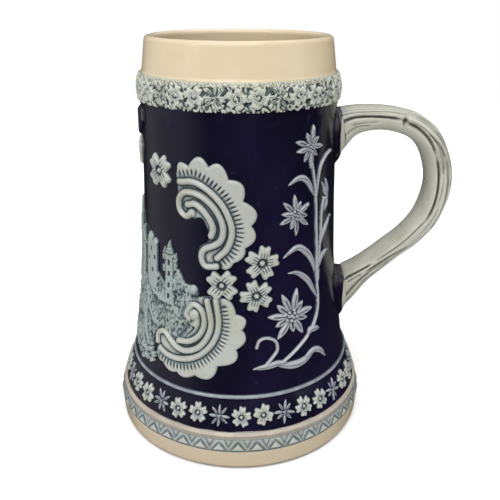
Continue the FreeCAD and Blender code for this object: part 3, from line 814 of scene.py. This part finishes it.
KNOT = (0.205, 80)        # share of the handle's length, and angle round the section
FLANK = 7.5               # radius that turns an angle round the section into a width on its surface


def swept(stations, rings, around):
    """Points of a strap that swells and bends, with the distance along it and the angle round it at each."""
    line = curve_through(stations, per_span=24)
    lengths = lengths_along(line[:, :2])
    spots = np.linspace(0, lengths[-1], rings)
    distance, height, heading, thick, wide = (np.interp(spots, lengths, column)[:, None] for column in line.T)
    turn = 2 * np.pi * np.arange(around)[None, :] / around
    fullness = 2 / 2.5
    out = np.sign(np.cos(turn)) * np.abs(np.cos(turn)) ** fullness * thick
    side = np.sign(np.sin(turn)) * np.abs(np.sin(turn)) ** fullness * wide
    heading = np.radians(heading)
    points = np.stack([distance - np.sin(heading) * out, side, height + np.cos(heading) * out], axis=-1)
    lengthwise = np.gradient(points, axis=0)
    crosswise = np.roll(points, -1, axis=1) - np.roll(points, 1, axis=1)
    normals = np.cross(lengthwise, crosswise)
    normals /= np.maximum(np.linalg.norm(normals, axis=-1, keepdims=True), 1e-9)
    if ((points - points.mean(axis=1, keepdims=True)) * normals).sum() < 0:
        normals = -normals
    return points, normals, np.broadcast_to(spots[:, None], out.shape), np.broadcast_to(turn, out.shape)


def bark_cuts():
    """Long fine cuts that weave over the outside of the bend; negative angles are on the +Y flank."""
    draw = np.random.default_rng(21)
    cuts = []
    for step in range(110):
        start = 0.18 + 0.66 * step / 110
        angle = draw.uniform(-84, 84)
        lean = draw.uniform(4, 18) * (1 if step % 3 else -1)
        reach = draw.uniform(0.08, 0.17)
        cuts.append((angle, min(max(angle + lean, -86), 86), start, start + reach, draw.uniform(0.22, 0.45),
                     0.38, draw.uniform(0.3, 0.75)))
    return cuts


def make_handle(material):
    """The branch, whose outside is cut like bark and whose inside is smooth for the fingers."""
    rings, around = 420, 168
    points, normals, along, turn = swept(HANDLE, rings, around)
    bearing = (540 - np.degrees(turn)) % 360 - 180
    side = np.abs(bearing)
    length = along[-1, 0]
    share = along / length
    depth = np.zeros(side.shape)
    ink = np.zeros(side.shape)
    cuts = [(side, cut) for cut in CUTS] + [(bearing, cut) for cut in bark_cuts()]
    for place, (start, end, first, last, deep, wide, dark) in cuts:
        progress = (share - first) / (last - first)
        middle = start + (end - start) * np.clip(progress, 0, 1) + 1.5 * np.sin(9 * share * np.pi + start)
        fade = np.clip(6 * progress + (first == 0), 0, 1) * np.clip(6 * (1 - progress) + (last == 1), 0, 1)
        amount = hollow(np.radians(place - middle) * FLANK, wide) * fade
        depth = np.maximum(depth, deep * amount)
        ink = np.maximum(ink, dark * amount)
    knot_share, knot_side = KNOT
    from_knot = np.hypot((along - knot_share * length) / 0.9, np.radians(side - knot_side) * FLANK / 1.9)
    knot = hollow(from_knot, 1.0)
    depth = np.maximum(depth, knot)
    ink = np.maximum(ink, 1.6 * knot)
    barky = np.clip((98 - side) / 10, 0, 1) * np.clip((share - 0.18) / 0.06, 0, 1)
    ridged = barky * (0.18 * np.sin(np.radians(bearing) * 14 + 0.12 * along)
                      + 0.12 * np.sin(np.radians(bearing) * 31 - 0.2 * along + 1))
    lumps = 0.1 * np.sin(0.21 * along + 3 * np.radians(bearing))
    ends = np.clip(np.minimum(along, length - along) / 2.5, 0, 1)
    points = points + normals * ((ridged + lumps - depth) * ends)[..., None]
    # Painted shade: the bark side is darker, darkest in the troughs of its ridges, on top of the dark cuts and
    # the knot.
    wash = ink + barky * np.clip(0.12 - 1.3 * ridged, 0, 0.5)
    branch = new_piece("branch_handle", points, tube_faces(rings, around), wash=wash, share=share)
    settle(branch, "handle", material)


def make_roots(material):
    """The two flared lugs that join the handle to the wall, and how near each point is to the handle."""
    for name, end in (("upper", HANDLE[0]), ("lower", HANDLE[-1])):
        distance, height, heading, thick, wide = end
        stations = [(distance - inward, height - down, heading, thick + taller, wide + wider)
                    for inward, down, taller, wider in FLARE]
        points, normals, along, turn = swept(stations, 20, 96)
        lumps = 0.1 * np.sin(3 * turn + along) + 0.06 * np.sin(7 * turn - 0.5 * along)
        points = points + normals * (lumps * np.clip(along / 1.5, 0, 1))[..., None]
        lap = points[..., 0] - distance + 0.014 * points[..., 1] ** 2
        root = new_piece(name + "_root_clay", points, tube_faces(20, 96), lap=lap)
        settle(root, "handle_root_" + name, material)


# ------------ materials

def srgb(red, green, blue):
    """A colour given in display values from 0 to 255."""
    colour = []
    for share in (red / 255, green / 255, blue / 255):
        colour.append(share / 12.92 if share <= 0.04045 else ((share + 0.055) / 1.055) ** 2.4)
    return colour + [1.0]


class Nodes:
    """Short names for the work of wiring a node tree."""

    def __init__(self, tree):
        self.tree = tree

    def plug(self, socket, value):
        if isinstance(value, bpy.types.NodeSocket):
            self.tree.links.new(value, socket)
        else:
            socket.default_value = value

    def add(self, kind, **settings):
        node = self.tree.nodes.new("ShaderNode" + kind)
        for name, value in settings.items():
            setattr(node, name, value)
        return node

    def maths(self, operation, *values):
        node = self.add("Math", operation=operation)
        for socket, value in zip(node.inputs, values):
            self.plug(socket, value)
        return node.outputs[0]

    def step(self, value, low, high, least=0.0, most=1.0):
        """The least below low, the most above high and smooth between."""
        node = self.add("MapRange", interpolation_type="SMOOTHSTEP")
        for name, number in (("Value", value), ("From Min", low), ("From Max", high), ("To Min", least),
                             ("To Max", most)):
            self.plug(node.inputs[name], number)
        return node.outputs["Result"]


class Glaze(Nodes):
    """A glazed ceramic material."""

    def __init__(self, name, roughness, gloss):
        self.material = bpy.data.materials.new(name)
        self.material.use_nodes = True
        super().__init__(self.material.node_tree)
        self.shader = self.tree.nodes["Principled BSDF"]
        self.shader.inputs["Specular IOR Level"].default_value = gloss
        self.roughness = roughness
        self.place = self.add("TexCoord").outputs["Object"]

    def noise(self, scale, detail=3.0, stretch=(1, 1, 1)):
        place = self.add("Mapping")
        self.plug(place.inputs["Vector"], self.place)
        self.plug(place.inputs["Scale"], stretch)
        node = self.add("TexNoise")
        self.plug(node.inputs["Vector"], place.outputs["Vector"])
        self.plug(node.inputs["Scale"], scale)
        self.plug(node.inputs["Detail"], detail)
        return node.outputs["Fac"]

    def clouds(self, scale, low, high, detail=3.0, stretch=(1, 1, 1)):
        """Patches of 1 in a ground of 0, smooth between."""
        return self.step(self.noise(scale, detail, stretch), low, high)

    def blurred(self, value, amount, scale):
        """A value whose edges are made uneven by noise, as a brush leaves them."""
        return self.maths("ADD", value, self.maths("MULTIPLY_ADD", self.noise(scale), amount, -amount / 2))

    def mix(self, factor, first, second):
        node = self.add("Mix", data_type="RGBA")
        self.plug(node.inputs[0], factor)
        self.plug(node.inputs[6], first)
        self.plug(node.inputs[7], second)
        return node.outputs[2]

    def attribute(self, name):
        return self.add("Attribute", attribute_name=name).outputs["Fac"]

    def finish(self, colour):
        """Sets the colour, with the uneven gloss and the faint orange peel that a fired glaze has."""
        self.plug(self.shader.inputs["Base Color"], colour)
        cloud = self.clouds(90, 0.3, 0.75)
        self.plug(self.shader.inputs["Roughness"], self.maths("MULTIPLY_ADD", cloud, 0.12, self.roughness))
        peel = self.add("Bump")
        self.plug(peel.inputs["Strength"], 0.06)
        self.plug(peel.inputs["Distance"], 0.0002)
        self.plug(peel.inputs["Height"], self.noise(700, 2.0))
        self.plug(self.shader.inputs["Normal"], peel.outputs["Normal"])
        return self.material


def cobalt(glaze):
    """Near black blue that turns violet where the brush left it thin."""
    thin = glaze.clouds(30, 0.4, 0.72, 4.0, (1, 1, 0.35))
    deep = glaze.mix(thin, srgb(11, 9, 26), srgb(18, 13, 39))
    return glaze.mix(glaze.clouds(240, 0.6, 0.8), deep, srgb(24, 20, 48))


def cream(glaze):
    """Warm beige glaze with faint mottling, an orange blush and the odd iron speck."""
    ground = glaze.mix(glaze.clouds(24, 0.35, 0.7, 4.0), srgb(196, 180, 150), srgb(204, 190, 164))
    blush = glaze.mix(glaze.clouds(55, 0.62, 0.85, 2.0), ground, srgb(212, 180, 140))
    return glaze.mix(glaze.clouds(700, 0.74, 0.8), blush, srgb(170, 140, 104))


def cobalt_glaze():
    glaze = Glaze("cobalt_glaze_paint", roughness=0.14, gloss=0.45)
    return glaze.finish(cobalt(glaze))


def cream_glaze():
    """The cream of the lower ring, greyed by the wash round it."""
    glaze = Glaze("cream_glaze_paint", roughness=0.22, gloss=0.4)
    cloud = glaze.clouds(150, 0.35, 0.7)
    return glaze.finish(glaze.mix(cloud, srgb(150, 143, 132), srgb(166, 157, 143)))


def cup_glaze():
    """Cream with a cobalt field and skirt, a dark blue-green ground for the collar, and painted shade as a
    grey band just above it.
    """
    glaze = Glaze("cup_glaze", roughness=0.14, gloss=0.45)
    separate = glaze.add("SeparateXYZ")
    glaze.plug(separate.inputs[0], glaze.place)
    height = glaze.blurred(separate.outputs["Z"], 0.9 * MM, 150)
    outside = glaze.maths("SUBTRACT", 1.0, glaze.attribute("inside"))

    def banded(colour, low, high, paint):
        """Paint over a colour, between two heights of the outside."""
        above = glaze.step(height, (low - 0.15) * MM, (low + 0.15) * MM)
        below = glaze.step(height, (high + 0.15) * MM, (high - 0.15) * MM)
        zone = glaze.maths("MULTIPLY", above, below)
        return glaze.mix(glaze.maths("MULTIPLY", zone, outside), colour, paint)

    cobalt_low = span("skirt_bead_ring")[1] + 0.2
    ground_low, ground_high = COLLAR[0] + 0.6, COLLAR[1] - 1.4
    ground = glaze.mix(glaze.clouds(420, 0.4, 0.65), srgb(36, 44, 48), srgb(92, 104, 100))
    colour = glaze.mix(glaze.step(height, 14 * MM, 8 * MM), cream(glaze), srgb(176, 163, 140))
    colour = banded(colour, span("foot_triangles")[1], cobalt_low + 0.3, srgb(140, 136, 126))
    colour = glaze.mix(glaze.step(height, 1.8 * MM, 0.6 * MM), colour, srgb(112, 96, 78))
    colour = banded(colour, cobalt_low, ground_low, cobalt(glaze))
    colour = banded(colour, ground_low, ground_high, ground)
    # Painted shade: a grey band above the collar ground, where the shade of the cove falls.
    return glaze.finish(banded(colour, ground_high, COLLAR[1] + 0.4, srgb(174, 170, 148)))


def washed_glaze(name, light, middle, dark):
    """Pale glaze over relief, with a wash and painted shade that gather in the hollows."""
    glaze = Glaze(name, roughness=0.2, gloss=0.45)
    wash = glaze.blurred(glaze.attribute("wash"), 0.4, 330)
    red, green, blue, _ = light
    ochre = [0.93 * red, 0.93 * green, 0.8 * blue, 1.0]
    warm = glaze.mix(glaze.clouds(60, 0.45, 0.75), light, ochre)
    colour = glaze.mix(glaze.step(wash, 0.1, 0.5), warm, middle)
    return glaze.finish(glaze.mix(glaze.step(wash, 0.45, 1.0), colour, dark))


def branch_glaze():
    """Grey cream with dark bark lines and painted shade on the bark side; the cobalt of the roots laps
    raggedly over its ends.
    """
    glaze = Glaze("branch_glaze_paint", roughness=0.2, gloss=0.45)
    wash = glaze.blurred(glaze.attribute("wash"), 0.35, 260)
    ground = glaze.mix(glaze.clouds(45, 0.35, 0.65), srgb(178, 176, 164), srgb(160, 159, 147))
    colour = glaze.mix(glaze.step(wash, 0.12, 0.5), ground, srgb(128, 129, 118))
    colour = glaze.mix(glaze.step(wash, 0.5, 1.1), colour, srgb(54, 55, 49))
    share = glaze.blurred(glaze.attribute("share"), 0.012, 260)
    lapped = glaze.maths("ADD", glaze.step(share, 0.003, 0.0), glaze.step(share, 0.997, 1.0))
    return glaze.finish(glaze.mix(lapped, colour, cobalt(glaze)))


def root_glaze():
    """Cobalt up to a ragged line beside the handle, whose own glaze runs on past it."""
    glaze = Glaze("root_glaze", roughness=0.14, gloss=0.45)
    lap = glaze.blurred(glaze.attribute("lap"), 0.5, 260)
    return glaze.finish(glaze.mix(glaze.step(lap, -0.1, 0.1), cobalt(glaze), srgb(160, 159, 147)))


# ------------ studio

def make_floor():
    """A plain pale floor."""
    half = 0.9
    mesh = bpy.data.meshes.new("floor")
    corners = [(-half, -half, 0), (half, -half, 0), (half, half, 0), (-half, half, 0)]
    mesh.from_pydata(corners, [], [(0, 1, 2, 3)])
    floor = put("floor", mesh)
    material = bpy.data.materials.new("floor_paint")
    material.use_nodes = True
    shader = material.node_tree.nodes["Principled BSDF"]
    shader.inputs["Base Color"].default_value = (0.9, 0.9, 0.9, 1)
    shader.inputs["Roughness"].default_value = 0.9
    mesh.materials.append(material)
    floor.location.z = cad_low.z - 0.0002
    floor.visible_glossy = False


def add_light(kind, name, place, power, **settings):
    """A lamp that faces the middle of the stein."""
    data = bpy.data.lights.new(name, kind)
    data.energy = power
    for setting, value in settings.items():
        setattr(data, setting, value)
    light = put(name, data)
    light.location = place
    light.rotation_euler = (Vector((0, 0, 0.09)) - Vector(place)).to_track_quat("-Z", "Y").to_euler()


def make_light():
    """White surroundings, whose light on the stein is dim and comes mostly from above and from the left."""
    world = bpy.data.worlds.new("studio")
    world.use_nodes = True
    bpy.context.scene.world = world
    nodes = Nodes(world.node_tree)
    heading = nodes.add("SeparateXYZ")
    nodes.plug(heading.inputs[0], nodes.add("TexCoord").outputs["Generated"])
    left = nodes.step(heading.outputs["X"], -0.5, -0.95, 0.02, 0.35)
    above = nodes.step(heading.outputs["Z"], 0.0, 0.7, 0.0, 0.6)
    seen = nodes.add("Mix", data_type="FLOAT")
    nodes.plug(seen.inputs[0], nodes.add("LightPath").outputs["Is Camera Ray"])
    nodes.plug(seen.inputs[2], nodes.maths("ADD", left, above))
    nodes.plug(seen.inputs[3], 1.0)
    background = world.node_tree.nodes["Background"]
    nodes.plug(background.inputs["Strength"], seen.outputs[0])
    nodes.plug(background.inputs["Color"], (1, 1, 1, 1))
    add_light("SUN", "key", (-0.12, -0.75, 1.0), 2.3, angle=math.radians(60))
    add_light("SUN", "top", (0.1, 0.1, 1.0), 1.2, angle=math.radians(60))
    add_light("AREA", "window", (-0.6, -0.5, 0.55), 0.9, shape="RECTANGLE", size=0.25, size_y=0.5)
    add_light("AREA", "fill", (0.7, -0.3, 0.4), 0.7, shape="RECTANGLE", size=0.4, size_y=0.6)


def make_camera():
    """In front of the -Y side and above, looking down at the stein."""
    data = bpy.data.cameras.new("camera")
    data.sensor_width = 36
    data.lens = 45.99
    camera = put("camera", data)
    camera.location = (0, -277.99 * MM, 192.4 * MM)
    down, right, roll = (math.radians(angle) for angle in (22.27, 1.0, 0.17))
    aim = Euler((math.pi / 2 - down, 0, -right)).to_matrix()
    camera.rotation_euler = (aim @ Euler((0, 0, roll)).to_matrix()).to_euler()
    bpy.context.scene.camera = camera


bpy.context.scene.view_settings.view_transform = "Standard"
make_camera()
make_floor()
make_light()

relief_paint = washed_glaze("relief_glaze_paint", srgb(160, 162, 156), srgb(104, 114, 114), srgb(42, 50, 54))
collar_paint = washed_glaze("collar_glaze_paint", srgb(176, 178, 168), srgb(118, 128, 124), srgb(50, 58, 60))
flower_paint = washed_glaze("flower_glaze_paint", srgb(150, 151, 157), srgb(98, 106, 114), srgb(38, 46, 58))
castle_paint = washed_glaze("castle_glaze_paint", srgb(140, 149, 147), srgb(88, 101, 104), srgb(40, 50, 58))
cobalt_paint = cobalt_glaze()
make_cup(cup_glaze())
make_handle(branch_glaze())
make_roots(root_glaze())
make_beads(flower_paint, cream_glaze())
skirt_low = span("skirt_bead_ring")[1] + 1.0
skirt_high = span("field_bead_ring")[0] - 1.0
make_band("skirt", skirt_low, skirt_high, 12, -9.5, (4.5, 4.3), (flower_paint, relief_paint))
make_band("collar", *COLLAR, 11, -12.2, (4.9, 4.1), (collar_paint, collar_paint), fill_collar)
make_triangles(relief_paint)
for scroll, parts in SCROLLS.items():
    make_scroll(scroll, parts, relief_paint)
make_blossoms(relief_paint)
make_edelweiss(flower_paint)
make_vine(flower_paint)
make_keep(castle_paint)
make_wing(castle_paint)
make_swag(cobalt_paint)
make_shell(relief_paint)
